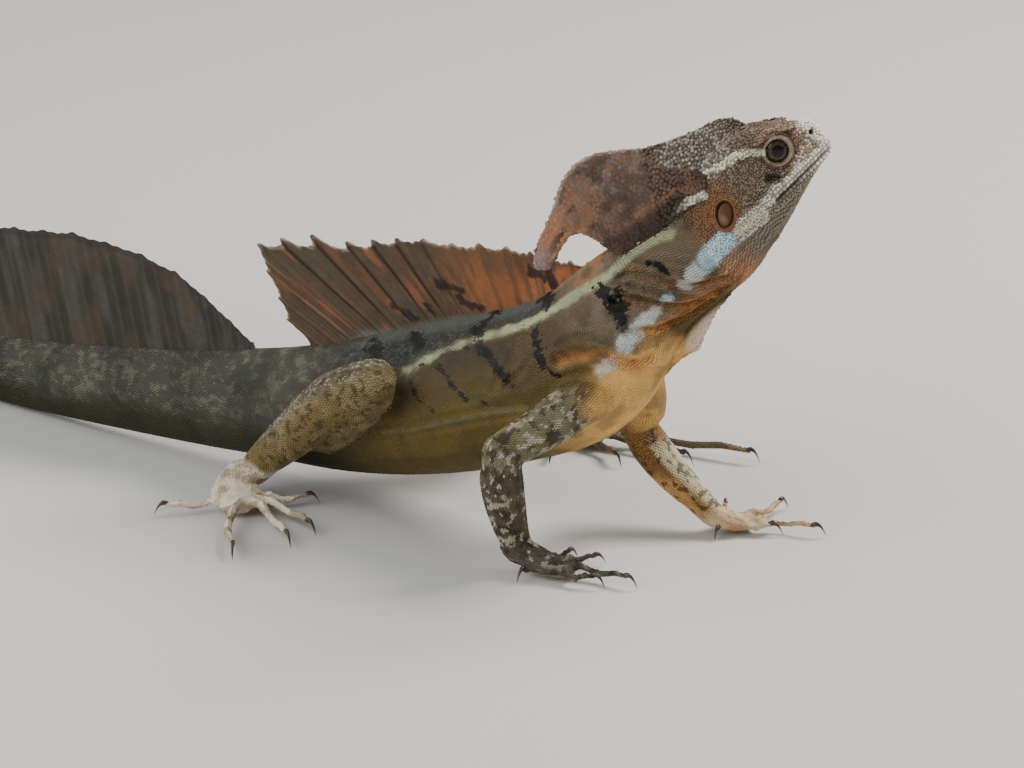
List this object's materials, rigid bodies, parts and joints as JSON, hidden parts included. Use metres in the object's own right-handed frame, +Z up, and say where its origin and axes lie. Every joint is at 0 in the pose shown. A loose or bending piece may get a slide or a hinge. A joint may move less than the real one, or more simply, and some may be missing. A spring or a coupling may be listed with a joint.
{
  "type": "common basilisk",
  "caption": "Life-size still model of an adult male common basilisk lizard, standing with raised head, head crest, back sail, tail sail and long tapering tail.",
  "frame": {"origin": "centre of the bounding box's footprint, on the floor that the feet and tail rest on", "axes": "+X forward along the trunk, tail towards -X; +Y to the animal's left; +Z up"},
  "size_m": [0.7822, 0.1882, 0.1511],
  "materials": {
    "head_skin": "fine scales, brown with pale stripes",
    "crest_skin": "smooth large scales, red-brown to grey",
    "eye": "wet, glossy",
    "eardrum": "thin taut skin",
    "throat_skin": "loose folded skin, pale",
    "neck_skin": "fine scales, orange-brown",
    "trunk_skin": "fine scales, olive-gold with dark bars",
    "sail_skin": "thin membrane over rays, rust",
    "tail_skin": "keeled scales, grey-olive",
    "tail_sail_skin": "thin membrane over rays, brown",
    "limb_skin": "keeled scales, olive-tan",
    "foot_skin": "scaled toes with dark claws"
  },
  "bodies": {
    "root": {"head": "head_skin", "head_crest": "crest_skin", "eye_right": "eye", "eye_left": "eye", "eardrum_right": "eardrum", "eardrum_left": "eardrum", "throat_flap": "throat_skin", "neck": "neck_skin", "torso": "trunk_skin", "dorsal_sail": "sail_skin", "tail_1": "tail_skin", "tail_2": "tail_skin", "tail_3": "tail_skin", "tail_4": "tail_skin", "tail_sail": "tail_sail_skin", "arm_right": "limb_skin", "hand_right": "foot_skin", "arm_left": "limb_skin", "hand_left": "foot_skin", "leg_right": "limb_skin", "foot_right": "foot_skin", "leg_left": "limb_skin", "foot_left": "foot_skin"}
  },
  "joints": []
}
